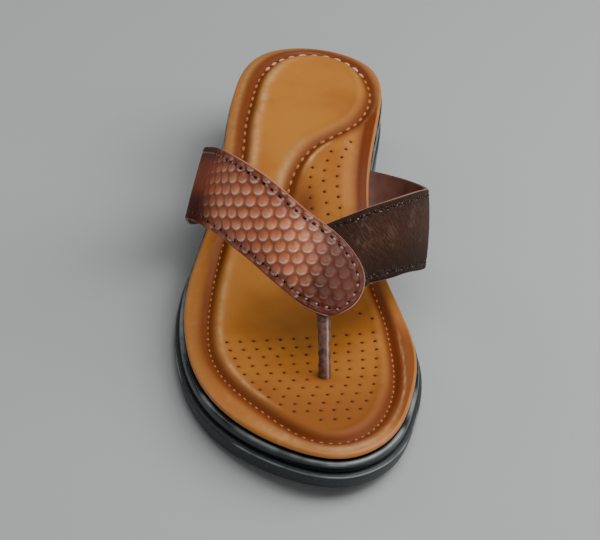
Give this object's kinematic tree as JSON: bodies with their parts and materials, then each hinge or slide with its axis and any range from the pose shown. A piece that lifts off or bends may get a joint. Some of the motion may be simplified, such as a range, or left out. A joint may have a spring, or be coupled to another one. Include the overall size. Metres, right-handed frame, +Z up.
{
  "type": "toe-post sandal",
  "caption": "Leather toe-post sandal for the right foot: wide crossing straps, a perforated leather footbed and a low banded wedge sole.",
  "frame": {"origin": "on the floor, under the middle of the heel seat", "axes": "+Y towards the heel (the toe points to -Y), +X towards the inner side of the foot, +Z up"},
  "size_m": [0.1062, 0.2789, 0.0777],
  "materials": {
    "outsole_rubber": "speckled, slightly rough moulded surface, black with a green-blue cast",
    "midsole_rubber": "smooth and glossy, black with a green-blue cast",
    "footbed_leather": "waxed tan leather, glossier and more orange on the rim",
    "strap_leather": "red-brown leather embossed with round scales",
    "post_leather": "dark brown leather wrapped round the post"
  },
  "bodies": {
    "root": {"outsole": "outsole_rubber", "midsole": "midsole_rubber", "footbed": "footbed_leather", "upper": "strap_leather", "toe_post": "post_leather"}
  },
  "joints": []
}
